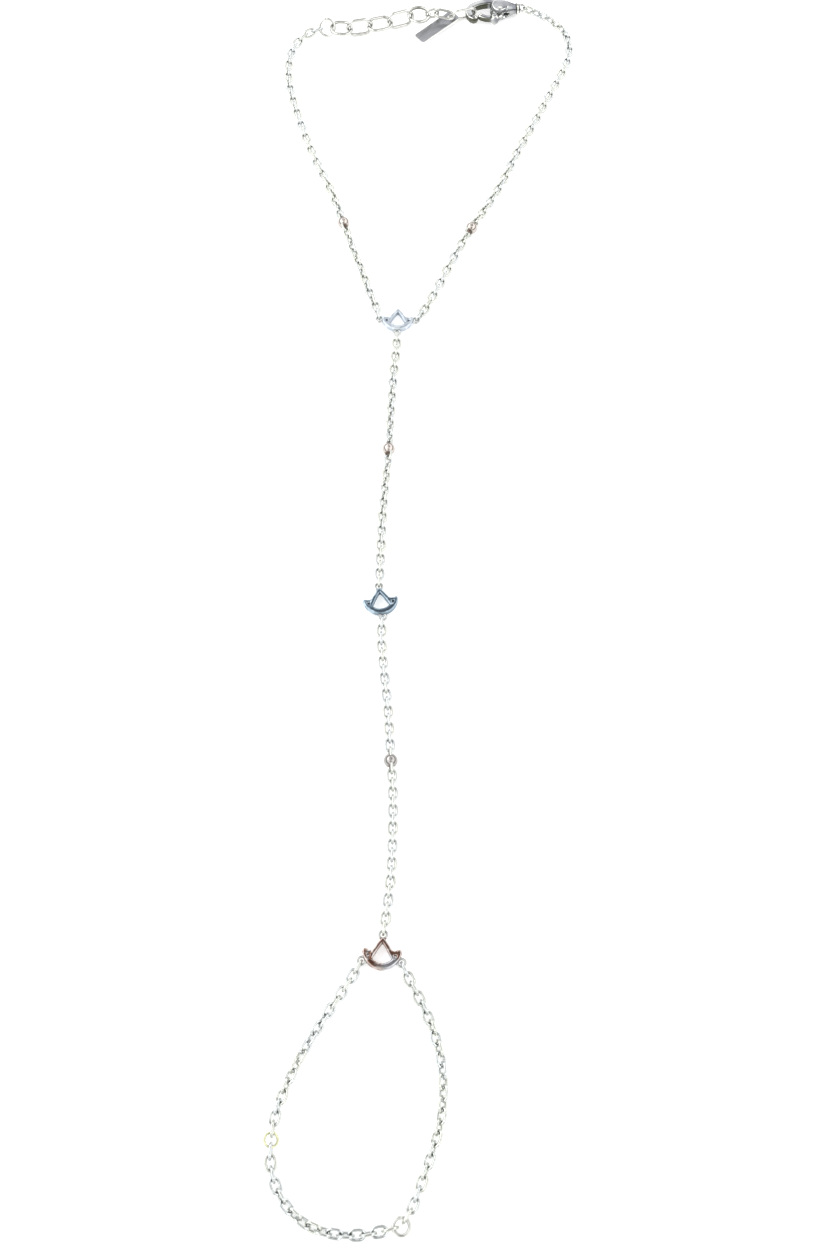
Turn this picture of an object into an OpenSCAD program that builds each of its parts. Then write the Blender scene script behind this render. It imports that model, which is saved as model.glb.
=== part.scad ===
// Hand chain bracelet of polished steel, lying flat and fastened, in millimetres.
// The wrist end lies towards +Y, the finger loop towards -Y, and the table is z = 0.

/* [Fine chain] */
// Wire of the fine oval links
chain_wire = 0.4; // [0.3:0.05:0.45]
// Outer width of a fine link
chain_link_width = 1.55; // [1.45:0.05:1.8]
// Distance from link to link in the wrist chains
wrist_pitch = 1.45; // [1.35:0.05:1.8]
// Distance from link to link in the hand chain
hand_pitch = 1.2; // [1.15:0.05:1.6]
// Distance from link to link in the finger loop
finger_pitch = 1.3; // [1.2:0.05:1.7]
// Clearance between pieces that are linked together
link_gap = 0.14; // [0.12:0.01:0.16]

/* [Beads] */
// Diameter of the round beads
bead_d = 1.9; // [1.5:0.1:2.6]
// Depth of the seam round a bead, in the upright plane of its chain
seam_depth = 0.06; // [0.03:0.01:0.12]
// Width of the seam round a bead
seam_width = 0.14; // [0.08:0.02:0.3]

/* [Lotus connectors] */
// Width across the ears
lotus_w = 5; // [4:0.1:6]
// Height of the middle petal above the bowl's centre
petal_h = 1.53; // [1.2:0.05:2.4]
// Thickness at the crown
lotus_t = 1; // [0.8:0.05:1.4]
// Width of the cast rim
rim_w = 0.83; // [0.6:0.05:1]
// Wire of the small soldered eyes
eye_wire = 0.35; // [0.25:0.05:0.4]

/* [Extension chain] */
// Wire of the extension links
ext_wire = 0.6; // [0.4:0.05:0.8]
// Outer width of an extension link
ext_width = 3.4; // [2.8:0.1:4.2]
// Outer diameter of the round adjuster ring
adjuster_d = 4.4; // [3.8:0.1:5]
// Wire of the jump rings
jump_wire = 0.45; // [0.35:0.05:0.5]
// Outer diameter of the jump ring at the extension
jump_d = 3.2; // [2.6:0.1:4]
// Outer width of the long link that the clasp holds
end_link_width = 3.2; // [3:0.1:3.6]

/* [Tag] */
// Length of the tag
tag_l = 8.6; // [6:0.2:12]
// Width of the tag
tag_w = 2.5; // [2:0.1:4]
// Thickness of the tag
tag_t = 0.45; // [0.35:0.05:0.5]
// Diameter of the hole in the tag
tag_hole_d = 1.25; // [1.15:0.05:1.5]

/* [Clasp] */
// Wire of the hook, where it is round
hook_wire = 1.3; // [1:0.05:1.35]
// Thickness of the flattened hub
hub_t = 2.4; // [2.2:0.1:2.5]
// Diameter of the round hub
hub_d = 3.5; // [3.2:0.1:3.8]
// Wire of the lever's gate
gate_wire = 1; // [0.8:0.05:1.05]
// Diameter of the rivet that the lever turns on
rivet_d = 0.6; // [0.4:0.05:0.8]
// Radial clearance of the lever on its rivet
rivet_play = 0.04; // [0.02:0.01:0.08]

/* [Finger loop rings] */
// Outer diameter of the ring that closes the finger loop
closing_d = 2.4; // [2.3:0.1:2.8]
// Outer diameter of the small side ring
side_ring_d = 1.95; // [1.9:0.05:2.2]
// Wire of the small side ring
side_ring_wire = 0.3; // [0.2:0.05:0.3]

/* [Hidden] */
$fn = 48;
steel = "gainsboro";
chain_reach = (chain_link_width - chain_wire) / 2;
// Height of the chain's middle line where a link stands upright
chain_rise = chain_wire / 2 + chain_reach;
// From the point where two pieces link to the middle of the wire, on each side
function hold(wire) = (link_gap + wire) / 2;
function heading(v) = atan2(v.y, v.x);

// Lotus outline, worked out from its width
bowl_r = lotus_w / 2;
bowl_y = 0.24 * bowl_r;
ear_y = 0.18 * bowl_r;
lobe_r = 0.12 * bowl_r;
lobe_x = bowl_r - lobe_r - 0.03;
lobe_y = ear_y - 0.08;
shoulder_x = 0.53 * bowl_r;
petal_y = bowl_y + petal_h;
petal_bulge = 0.12;
opening_r = bowl_r - rim_w;
opening_top = petal_y - 0.75 * rim_w;
// Fall of the opening's straight sides for each unit across
opening_slope = 1.86;
// Crescent slits beside the middle petal: inner and outer radius, and the angles they run between
slit_in = opening_r + 0.06 * rim_w;
slit_out = opening_r + 0.5 * rim_w;
slit_from = -12;
slit_to = -38;
// Radius of the low dome of the lotus's face
dome_r = 9;
eye_r = chain_wire / 2 + link_gap + eye_wire / 2;
eye_z = lotus_t / 2;
lotus_z = chain_rise - eye_z;
eye_seat = eye_r - 0.1;

// Places of the three lotus connectors: x, y, turn
LOTUS_WRIST = [-5.4, 30.5, -2];
LOTUS_HAND = [-7.5, -19, 7];
LOTUS_FINGER = [-6.8, -68.5, -3];
// Angles, seen from the bowl's centre, of the eyes on its rim
EAR_EYE = -8;
CORNER_EYE = -30;

// Places of the beads: x, y, heading of the chain through it, roll of its loops
BEAD_WRIST_LEFT = [-14.4, 50.3, 107, 45];
BEAD_WRIST_RIGHT = [6.6, 49.2, 62, 45];
BEAD_HAND_UPPER = [-6.6, 6.6, -93, 45];
BEAD_HAND_LOWER = [-5.9, -42.7, -86, 80];
bead_reach = bead_d / 2 + 1.5 * link_gap + chain_wire;
bead_z = max(chain_rise, bead_d / 2);

// Extension chain: its links lie flat and stand upright in turn, with their middle line at one height
ext_flat = 4;
ext_upright = 86;
ext_z = ext_wire / 2 + (ext_width - ext_wire) / 2 * sin(ext_upright);
// Points where the large links join, between the jump ring and the adjuster ring
EXTENSION = [[-14.3, 94], [-10.7, 94.7], [-7.2, 95.7]];
// Jump ring at the end of the left wrist chain, tilted about the line of the extension
jump_r = (jump_d - jump_wire) / 2;
JUMP = [-18.3, 94.3];
jump_tilt = 54;
// Roll of the last fine link, measured from the ring it hangs on
jump_turn = 76;
jump_axis = heading(EXTENSION[0] - JUMP);
// Adjuster ring, tilted about the line of the chain
adjuster_r = (adjuster_d - ext_wire) / 2;
ADJUSTER = [-2, 97.5];
adjuster_tilt = -2;
// Upright connector between the adjuster ring and the last extension link
CONNECTOR_END = [1.2, 97.7];
connector_lift = 0.3;
connector_width = ext_wire + 3 * link_gap + 2 * chain_wire + 0.16;
adjuster_axis = heading(CONNECTOR_END - ADJUSTER);
last_link_width = 2.3;
// End link, leaning forward: its roll, its left end, and where its left bend holds the last link and the tag
END_LINK = [3.95, 97.4];
end_roll = 112;
bow_slack = 0.3;
bow_side = 0.15;
end_bend = (end_link_width - jump_wire) / 2;
end_z = end_bend * sin(end_roll) + jump_wire / 2;
link_rise = 10;
tag_fall = 26;
tag_heading = 219;
tag_from_end = 1.1;
tag_corner = 0.5;

// Clasp: its origin on the table, its turn, and its own outline
CLASP = [11.9, 99.2];
clasp_turn = 6;
clasp_z = hub_t / 2 + 0.05;
hook_r = hook_wire / 2;
gate_r = gate_wire / 2;
arm_c = [-1.6, -3.4];
arm_r = 5.05;
arm_from = 45;
arm_to = 121;
bow_r = 1.65;
bow_c = arm_c + (arm_r - bow_r) * [cos(arm_to), sin(arm_to)];
bow_to = 238;
// The bow starts a little inside the end of the arm, in a hair thinner wire
bow_lap = 3;
bow_wire = hook_wire - 0.04;
nose_r = hook_r + 0.05;
hub_x = 0.6;
cone_x = hub_x + 0.2 * hub_d;
cone_r = 0.45 * hub_d;
neck_r = 0.8;
neck_x = 3.5;
neck_end = 4.3;
neck_lap = 0.2;
collar_r = 1.05;
collar_t = 0.35;
collar_x = neck_end - 0.3 - collar_t;
tail_r = 0.85;
tail_wire = 0.45;
tail_x = 4.75;
pivot = [0.5, -0.9];
boss_r = 0.85;
boss_half = gate_r - 0.06;
slot_half = gate_r + 0.1;
slot_top = 0.15;
gate_c = [-1.1, 0.9];
gate_bend = 3;
gate_from = 232.5;
gate_to = 302;
gate_tip_r = gate_r + 0.03;
tab_at = [-0.6, -2.3];
tab_r = 0.65;
tab_half = 0.95;
tab_dome_r = tab_half + 0.12;

// Finger loop's closing ring
closing_r = (closing_d - jump_wire) / 2;
CLOSING = [-4.2, -99.7];
// Side ring, linked into the left half of the finger loop, and its tilt
side_r = (side_ring_d - side_ring_wire) / 2;
SIDE = [-19.8, -90.3];
side_tilt = 20;

// Round points that the strands pass, chosen from end to end
LEFT_LOWER = [[-8.9, 33.3], [-10.2, 37], [-11.4, 41], [-12.8, 45]];
LEFT_UPPER = [[-16.5, 57], [-18.6, 62], [-20.7, 67.5], [-22.6, 73.5], [-24.2, 79.5], [-24.9, 84],
              [-24.8, 87.6], [-24.3, 90], [-23.2, 92.2], [-21.5, 93.7]];
RIGHT_LOWER = [[-1.4, 32.2], [0, 35], [1.8, 39], [3.5, 43]];
RIGHT_UPPER = [[9.5, 54.5], [12, 59.5], [14.7, 66], [17.5, 72], [20.2, 78], [22.4, 82.8], [24, 86.6],
               [24.7, 90.2], [24.2, 93.6], [22.4, 96.3], [19.9, 98.3]];
HAND_1 = [[-5.6, 25], [-6, 20], [-6.3, 14.5]];
HAND_2 = [[-7, 1.5], [-7.4, -4], [-7.6, -9.5]];
HAND_3 = [[-7.4, -24.5], [-7, -29.5], [-6.4, -35]];
HAND_4 = [[-5.6, -47.5], [-5.6, -53], [-5.8, -58.5]];
FINGER_LEFT_UPPER = [[-10.9, -71.8], [-13.1, -75], [-15.3, -78.4], [-17.3, -82], [-18.9, -85.8],
                     [-19.6, -88.3]];
FINGER_LEFT_LOWER = [[-19.8, -92.6], [-19.1, -95.3], [-17.4, -97.9], [-14.9, -99.7], [-12, -100.5],
                     [-9, -100.6], [-6.4, -100.2]];
FINGER_RIGHT = [[-2.8, -97.4], [-1.6, -94.4], [-0.5, -91.4], [0.4, -88.4], [0.8, -85], [0.6, -81.4],
                [-0.3, -77.9], [-1.7, -74.6], [-3.1, -72]];

// Point at an index of a list, held at the ends
function held(p, i) = p[max(0, min(len(p) - 1, i))];
// Smooth curve through the points of a route
function between(a, b, c, d, t) =
    0.5 * (2 * b + (c - a) * t + (2 * a - 5 * b + 4 * c - d) * t * t + (3 * b - a - 3 * c + d) * t * t * t);
function curve(p, steps = 8) = concat(
    [for (i = [0:len(p) - 2]) for (k = [0:steps - 1])
        between(held(p, i - 1), p[i], p[i + 1], held(p, i + 2), k / steps)],
    [p[len(p) - 1]]);
// Length along a curve up to each of its points
function run(p) = [for (i = 0, s = 0; i < len(p); s = s + norm(held(p, i + 1) - p[i]), i = i + 1) s];
// Points a whole number of links apart along a curve
function joints(p, n) =
    let (s = run(p), xs = [for (i = [0:len(p) - 1]) [s[i], p[i].x]],
         ys = [for (i = [0:len(p) - 1]) [s[i], p[i].y]], all = s[len(s) - 1])
    [for (k = [0:n]) [lookup(all * k / n, xs), lookup(all * k / n, ys)]];
// Roll from link to link: about a quarter turn, adjusted so that both end links have their given roll
function roll_step(first, last, n) =
    let (spare = (last - first - 90 * (n - 1)) % 180, rest = (spare + 270) % 180 - 90)
    90 + rest / (n - 1);

function turned(at, v) = [at.x + v.x * cos(at.z) - v.y * sin(at.z), at.y + v.x * sin(at.z) + v.y * cos(at.z)];
function towards(a, b, d) = a + d * (b - a) / norm(b - a);
// Where a strand links to an eye of a lotus, heading for its first point
function eye_place(angle) = [0, bowl_y] + (bowl_r + eye_seat) * [cos(angle), sin(angle)];
top_eye = [0, petal_y + eye_seat];
function eye_link(lotus, eye, to) =
    towards(turned(lotus, eye), to, eye_r - hold(eye_wire));
function bead_link(bead, side) = [bead[0], bead[1]] + side * bead_reach * [cos(bead[2]), sin(bead[2])];
clasp_at = [CLASP.x, CLASP.y, clasp_turn];
tail_link = towards(turned(clasp_at, [tail_x, 0]), RIGHT_UPPER[len(RIGHT_UPPER) - 1],
                    tail_r - hold(tail_wire));
bow_link = turned(clasp_at, bow_c - [bow_r - hook_r - link_gap / 2 - bow_slack, -bow_side]);

// Linking points of the extension, in space, from the jump ring to the clasp
function lifted(p, z) = [p.x, p.y, z];
// Place on a ring that is tilted about an axis through its centre, on the side towards a point
function on_ring(c, r, tilt, axis, to) =
    let (a = heading(to - c) - axis, v = turned([c.x, c.y, axis], r * [cos(a), sin(a) * cos(tilt)]))
    lifted(v, ext_z + r * sin(a) * sin(tilt));
function jump_link(to) = on_ring(JUMP, jump_r - hold(jump_wire), jump_tilt, jump_axis, to);
function adjuster_link(to) = on_ring(ADJUSTER, adjuster_r - hold(ext_wire), adjuster_tilt, adjuster_axis, to);
end_left = lifted(END_LINK, end_z);
end_right = lifted(bow_link, end_z);
end_along = (end_right - end_left) / norm(end_right - end_left);
end_up = [-end_along.y * cos(end_roll), end_along.x * cos(end_roll), sin(end_roll)];
end_centre = end_left + (end_bend - hold(jump_wire)) * end_along;
function on_end_bend(r, angle) = end_centre + r * (sin(angle) * end_up - cos(angle) * end_along);
connector_end = lifted(CONNECTOR_END, ext_z + connector_lift);
end_grip = on_end_bend(end_bend, link_rise) - connector_end;
EXT = [jump_link(EXTENSION[0]), lifted(EXTENSION[0], ext_z), lifted(EXTENSION[1], ext_z),
       lifted(EXTENSION[2], ext_z), adjuster_link(EXTENSION[2]), adjuster_link(CONNECTOR_END),
       connector_end, connector_end + (1 + hold(jump_wire) / norm(end_grip)) * end_grip];

// One oval link: two half rings joined by two straight wires, lying along X
module oval(inner, width, wire) {
    bend = (width - wire) / 2;
    half = round(1000 * (inner / 2 + wire / 2 - bend)) / 1000;
    for (side = [-1, 1])
        translate([-half, side * bend, 0]) rotate([0, 90, 0]) cylinder(d = wire, h = 2 * half);
    for (turn = [0, 180])
        rotate([0, 0, turn]) translate([half, 0, 0]) rotate([0, 0, -90])
            rotate_extrude(angle = 180) translate([bend, 0]) circle(d = wire);
}
module ring(r, wire) {
    rotate_extrude() translate([r, 0]) circle(d = wire);
}
// An oval between two linking points in space
module oval_between(a, b, roll, width, wire) {
    v = b - a;
    translate((a + b) / 2) rotate([roll, -asin(v.z / norm(v)), heading(v)])
        oval(norm(v) + link_gap, width, wire);
}
// A strand of fine links on the table, its ends at given heights and with given rolls
module strand(route, pitch, rolls, ends) {
    fall = 7;
    path = curve(route);
    length = run(path)[len(path) - 1];
    n = round(length / pitch);
    spots = joints(path, n);
    step = roll_step(rolls[0], rolls[1], n);
    function roll(k) = rolls[0] + step * max(0, min(n - 1, k));
    function rise(k) = chain_wire / 2 + chain_reach * max(abs(sin(roll(k))), abs(cos(roll(k))));
    function base(k) = max(rise(k - 1), rise(k));
    function ramp(d) = pow(max(0, 1 - d / fall), 2);
    function height(k) = base(k) + (ends[0] - base(0)) * ramp(length * k / n)
        + (ends[1] - base(n)) * ramp(length * (n - k) / n);
    for (k = [0:n - 1])
        oval_between(lifted(spots[k], height(k)), lifted(spots[k + 1], height(k + 1)),
                     roll(k), chain_link_width, chain_wire);
}
// Roll of a strand's last link at a bead: a quarter turn from the bead's own link
function bead_roll(bead) = bead[3] + 90;
module wrist_chain_left_lower() {
    color(steel) strand(concat([eye_link(LOTUS_WRIST, eye_place(180 - EAR_EYE), LEFT_LOWER[0])],
        LEFT_LOWER, [bead_link(BEAD_WRIST_LEFT, -1)]),
        wrist_pitch, [90, bead_roll(BEAD_WRIST_LEFT)], [chain_rise, bead_z]);
}
module wrist_chain_left_upper() {
    last = jump_link(LEFT_UPPER[len(LEFT_UPPER) - 1]);
    color(steel) strand(concat([bead_link(BEAD_WRIST_LEFT, 1)], LEFT_UPPER, [[last.x, last.y]]),
        wrist_pitch, [bead_roll(BEAD_WRIST_LEFT), jump_turn + jump_tilt], [bead_z, last.z]);
}
module wrist_chain_right_lower() {
    color(steel) strand(concat([eye_link(LOTUS_WRIST, eye_place(EAR_EYE), RIGHT_LOWER[0])],
        RIGHT_LOWER, [bead_link(BEAD_WRIST_RIGHT, -1)]),
        wrist_pitch, [90, bead_roll(BEAD_WRIST_RIGHT)], [chain_rise, bead_z]);
}
module wrist_chain_right_upper() {
    color(steel) strand(concat([bead_link(BEAD_WRIST_RIGHT, 1)], RIGHT_UPPER, [tail_link]),
        wrist_pitch, [bead_roll(BEAD_WRIST_RIGHT), 90], [bead_z, clasp_z]);
}
module hand_chain_1() {
    color(steel) strand(concat([eye_link(LOTUS_WRIST, eye_place(-90), HAND_1[0])], HAND_1,
        [bead_link(BEAD_HAND_UPPER, -1)]),
        hand_pitch, [90, bead_roll(BEAD_HAND_UPPER)], [chain_rise, bead_z]);
}
module hand_chain_2() {
    color(steel) strand(concat([bead_link(BEAD_HAND_UPPER, 1)], HAND_2,
        [eye_link(LOTUS_HAND, top_eye, HAND_2[len(HAND_2) - 1])]),
        hand_pitch, [bead_roll(BEAD_HAND_UPPER), 90], [bead_z, chain_rise]);
}
module hand_chain_3() {
    color(steel) strand(concat([eye_link(LOTUS_HAND, eye_place(-90), HAND_3[0])], HAND_3,
        [bead_link(BEAD_HAND_LOWER, -1)]),
        hand_pitch, [90, bead_roll(BEAD_HAND_LOWER)], [chain_rise, bead_z]);
}
module hand_chain_4() {
    color(steel) strand(concat([bead_link(BEAD_HAND_LOWER, 1)], HAND_4,
        [eye_link(LOTUS_FINGER, top_eye, HAND_4[len(HAND_4) - 1])]),
        hand_pitch, [bead_roll(BEAD_HAND_LOWER), 90], [bead_z, chain_rise]);
}
module finger_chain_left_upper() {
    last = FINGER_LEFT_UPPER[len(FINGER_LEFT_UPPER) - 1];
    color(steel) strand(concat([eye_link(LOTUS_FINGER, eye_place(180 - CORNER_EYE), FINGER_LEFT_UPPER[0])],
        FINGER_LEFT_UPPER, [towards(SIDE, last, side_r - hold(side_ring_wire))]),
        finger_pitch, [90, 90], [chain_rise, chain_rise]);
}
module finger_chain_left_lower() {
    last = FINGER_LEFT_LOWER[len(FINGER_LEFT_LOWER) - 1];
    color(steel) strand(concat([towards(SIDE, FINGER_LEFT_LOWER[0], side_r - hold(side_ring_wire))],
        FINGER_LEFT_LOWER, [towards(CLOSING, last, closing_r - hold(jump_wire))]),
        finger_pitch, [90, 90], [chain_rise, chain_rise]);
}
module finger_chain_right() {
    color(steel) strand(concat([towards(CLOSING, FINGER_RIGHT[0], closing_r - hold(jump_wire))], FINGER_RIGHT,
        [eye_link(LOTUS_FINGER, eye_place(CORNER_EYE), FINGER_RIGHT[len(FINGER_RIGHT) - 1])]),
        finger_pitch, [90, 90], [chain_rise, chain_rise]);
}
// A round bead soldered on its own link, whose two ends stick out as loops
module bead(at) {
    color(steel) translate([at[0], at[1], bead_z]) rotate([0, 0, at[2]]) {
        difference() {
            sphere(d = bead_d);
            rotate([90, 0, 0]) rotate_extrude() translate([bead_d / 2, 0])
                square([2 * seam_depth, seam_width], center = true);
        }
        rotate([at[3], 0, 0]) oval(2 * bead_reach + link_gap, chain_link_width, chain_wire);
    }
}
module bead_wrist_left() { bead(BEAD_WRIST_LEFT); }
module bead_wrist_right() { bead(BEAD_WRIST_RIGHT); }
module bead_hand_upper() { bead(BEAD_HAND_UPPER); }
module bead_hand_lower() { bead(BEAD_HAND_LOWER); }

// Flat outline of a lotus: a bowl with two ears and a pointed middle petal, cut through
module lotus_outline() {
    edge = [shoulder_x, ear_y] - [0, petal_y];
    bend = (pow(norm(edge), 2) / 4 + pow(petal_bulge, 2)) / (2 * petal_bulge);
    middle = [shoulder_x, ear_y + petal_y] / 2;
    inward = [edge.y, -edge.x] / norm(edge);
    opening_foot = opening_top - opening_slope * lotus_w;
    difference() {
        union() {
            intersection() {
                translate([0, bowl_y]) circle(r = bowl_r, $fn = 96);
                translate([-lotus_w, ear_y - 2 * lotus_w]) square(2 * lotus_w);
            }
            for (side = [-1, 1])
                translate([side * lobe_x, lobe_y]) circle(r = lobe_r);
            intersection() {
                petal_side(middle, inward, bend);
                mirror([1, 0]) petal_side(middle, inward, bend);
                translate([-lotus_w, -ear_y]) square(2 * lotus_w);
            }
        }
        intersection() {
            translate([0, bowl_y]) circle(r = opening_r, $fn = 96);
            polygon([[0, opening_top], [-lotus_w, opening_foot], [lotus_w, opening_foot]]);
        }
        for (side = [0, 1]) mirror([side, 0]) ear_slit();
    }
}
// Large circle whose edge runs from the petal's tip to its shoulder
module petal_side(middle, inward, bend) {
    translate(middle + (bend - petal_bulge) * inward) circle(r = bend, $fn = 192);
}
// Narrow crescent cut between the middle petal and an ear
module ear_slit() {
    translate([0, bowl_y]) intersection() {
        difference() {
            circle(r = slit_out, $fn = 96);
            circle(r = slit_in, $fn = 96);
        }
        polygon([[0, 0], lotus_w * [cos(slit_from), sin(slit_from)], lotus_w * [cos(slit_to), sin(slit_to)]]);
    }
}
module lotus(at, eyes) {
    translate([at.x, at.y, lotus_z]) rotate([0, 0, at.z]) {
        intersection() {
            linear_extrude(lotus_t) lotus_outline();
            translate([0, 0, lotus_t - dome_r]) sphere(r = dome_r, $fn = 192);
        }
        for (eye = eyes) translate([eye.x, eye.y, eye_z]) ring(eye_r, eye_wire);
    }
}
module lotus_wrist() {
    color("lightsteelblue") lotus(LOTUS_WRIST,
        [eye_place(EAR_EYE), eye_place(180 - EAR_EYE), eye_place(-90)]);
}
module lotus_hand() {
    color("steelblue") lotus(LOTUS_HAND, [top_eye, eye_place(-90)]);
}
module lotus_finger() {
    color("rosybrown") lotus(LOTUS_FINGER, [top_eye, eye_place(CORNER_EYE), eye_place(180 - CORNER_EYE)]);
}
module jump_ring() {
    color(steel) translate(lifted(JUMP, ext_z)) rotate([jump_tilt, 0, jump_axis]) ring(jump_r, jump_wire);
}
module extension_link(k) {
    color(steel) oval_between(EXT[k], EXT[k + 1], k % 2 == 0 ? ext_flat : ext_upright, ext_width, ext_wire);
}
module extension_link_1() { extension_link(0); }
module extension_link_2() { extension_link(1); }
module extension_link_3() { extension_link(2); }
module extension_link_4() { extension_link(3); }
module adjuster_ring() {
    color(steel) translate(lifted(ADJUSTER, ext_z)) rotate([adjuster_tilt, 0, adjuster_axis])
        ring(adjuster_r, ext_wire);
}
module connector_link() {
    color(steel) oval_between(EXT[5], EXT[6], 90, connector_width, chain_wire);
}
module extension_link_5() {
    color(steel) oval_between(EXT[6], EXT[7], 0, last_link_width, jump_wire);
}
module end_link() {
    color(steel) oval_between(end_left, end_right, end_roll, end_link_width, jump_wire);
}
// A plain bar with rounded corners, its hole on the end link and its far end on the table
module tag() {
    hole_at = on_end_bend(end_bend, -tag_fall);
    drop = asin((hole_at.z - tag_t / 2) / (tag_l - tag_from_end));
    color("gray") translate(hole_at) rotate([0, drop, tag_heading]) difference() {
        translate([-tag_from_end, 0, -tag_t / 2]) linear_extrude(tag_t) {
            translate([tag_corner, -tag_w / 2]) square([tag_l - 2 * tag_corner, tag_w]);
            translate([0, tag_corner - tag_w / 2]) square([tag_l, tag_w - 2 * tag_corner]);
            for (x = [tag_corner, tag_l - tag_corner])
                for (y = [-1, 1])
                    translate([x, y * (tag_w / 2 - tag_corner)]) circle(r = tag_corner);
        }
        cylinder(d = tag_hole_d, h = 4 * tag_t, center = true);
    }
}
module arc(c, r, from, to, wire) {
    translate([c.x, c.y, 0]) rotate([0, 0, from]) rotate_extrude(angle = to - from)
        translate([r, 0]) circle(d = wire);
}
module at_clasp() {
    translate([CLASP.x, CLASP.y, clasp_z]) rotate([0, 0, clasp_turn]) children();
}
// Hook, hub, neck and tail ring of the lobster clasp, cast in one piece
module clasp_body() {
    nose = bow_c + bow_r * [cos(bow_to), sin(bow_to)];
    color(steel) at_clasp() difference() {
        union() {
            arc(arm_c, arm_r, arm_from, arm_to, hook_wire);
            arc(bow_c, bow_r, arm_to - bow_lap, bow_to, bow_wire);
            translate([nose.x, nose.y, 0]) sphere(r = nose_r);
            intersection() {
                union() {
                    translate([hub_x, 0, 0]) sphere(d = hub_d);
                    translate([cone_x, 0, 0]) rotate([0, 90, 0])
                        cylinder(r1 = cone_r, r2 = neck_r, h = neck_x - cone_x);
                }
                cube([4 * hub_d, 2 * hub_d, hub_t], center = true);
            }
            translate([neck_x - neck_lap, 0, 0]) rotate([0, 90, 0])
                cylinder(r = neck_r - 0.02, h = neck_end - neck_x);
            translate([collar_x, 0, 0]) rotate([0, 90, 0]) cylinder(r = collar_r, h = collar_t);
            translate([tail_x, 0, 0]) ring(tail_r, tail_wire);
        }
        translate([hub_x - hub_d, slot_top - hub_d, -slot_half]) cube([1.5 * hub_d, hub_d, 2 * slot_half]);
        translate([pivot.x, pivot.y, 0]) cylinder(d = rivet_d + rivet_play, h = 2 * hub_t, center = true);
    }
}
module clasp_rivet() {
    color("silver") at_clasp() translate([pivot.x, pivot.y, 0])
        cylinder(d = rivet_d, h = hub_t, center = true);
}
// Sprung lever: a curved gate with a thumb tab, turning in the hub's slot
module clasp_lever() {
    tip = gate_c + gate_bend * [cos(gate_from), sin(gate_from)];
    color(steel) at_clasp() difference() {
        union() {
            arc(gate_c, gate_bend, gate_from, gate_to, gate_wire);
            translate([tip.x, tip.y, 0]) rotate([90, 0, gate_from]) sphere(r = gate_tip_r);
            translate([pivot.x, pivot.y, 0]) cylinder(r = boss_r, h = 2 * boss_half, center = true);
            translate([tab_at.x, tab_at.y, 0]) intersection() {
                cylinder(r = tab_r, h = 2 * tab_half, center = true);
                sphere(r = tab_dome_r);
            }
        }
        translate([pivot.x, pivot.y, 0]) cylinder(d = rivet_d + 2 * rivet_play, h = 2 * hub_t, center = true);
    }
}
module closing_ring() {
    color(steel) translate([CLOSING.x, CLOSING.y, chain_rise]) ring(closing_r, jump_wire);
}
module side_ring() {
    run_on = FINGER_LEFT_UPPER[len(FINGER_LEFT_UPPER) - 1] - FINGER_LEFT_LOWER[0];
    color("darkkhaki") translate(lifted(SIDE, chain_rise)) rotate([side_tilt, 0, heading(run_on)])
        ring(side_r, side_ring_wire);
}

wrist_chain_left_lower();
wrist_chain_left_upper();
wrist_chain_right_lower();
wrist_chain_right_upper();
hand_chain_1();
hand_chain_2();
hand_chain_3();
hand_chain_4();
finger_chain_left_upper();
finger_chain_left_lower();
finger_chain_right();
bead_wrist_left();
bead_wrist_right();
bead_hand_upper();
bead_hand_lower();
lotus_wrist();
lotus_hand();
lotus_finger();
jump_ring();
extension_link_1();
extension_link_2();
extension_link_3();
extension_link_4();
adjuster_ring();
connector_link();
extension_link_5();
end_link();
tag();
clasp_body();
clasp_rivet();
clasp_lever();
closing_ring();
side_ring();
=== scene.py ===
import math

import bpy
import numpy as np
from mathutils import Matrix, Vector


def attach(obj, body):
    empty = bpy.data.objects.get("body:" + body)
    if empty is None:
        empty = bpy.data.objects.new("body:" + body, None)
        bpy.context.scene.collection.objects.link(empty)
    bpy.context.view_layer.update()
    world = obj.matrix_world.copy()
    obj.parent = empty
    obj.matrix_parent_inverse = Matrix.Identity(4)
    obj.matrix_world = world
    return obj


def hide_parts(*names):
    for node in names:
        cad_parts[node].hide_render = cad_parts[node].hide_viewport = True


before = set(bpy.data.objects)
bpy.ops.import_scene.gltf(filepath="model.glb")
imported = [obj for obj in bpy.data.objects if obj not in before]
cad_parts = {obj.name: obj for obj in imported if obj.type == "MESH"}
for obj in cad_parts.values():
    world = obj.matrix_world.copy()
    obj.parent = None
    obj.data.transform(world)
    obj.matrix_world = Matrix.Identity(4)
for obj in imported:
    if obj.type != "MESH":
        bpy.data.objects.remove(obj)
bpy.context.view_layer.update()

scene = bpy.context.scene
mm = 0.001


# Studio: a plain white light table, faintly lit from below, in an even white tent. Grey flags all
# round its foot draw the edges of shiny metal, and the tent has two soft dark patches: the unlit
# room high up on the far side, which flat faces show to the lens, and the place of the camera.
camera = bpy.data.objects.new("camera", bpy.data.cameras.new("camera"))
scene.collection.objects.link(camera)
look_at = Vector((-2.5, -22.0, 0.0)) * mm
camera.location = Vector((-2.5, -100.9, 169.3)) * mm
camera.rotation_euler = (look_at - camera.location).to_track_quat("-Z", "Y").to_euler()
camera.data.lens = 38.0
camera.data.clip_start, camera.data.clip_end = 0.005, 20.0
scene.camera = camera
scene.view_settings.view_transform = "Standard"


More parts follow.
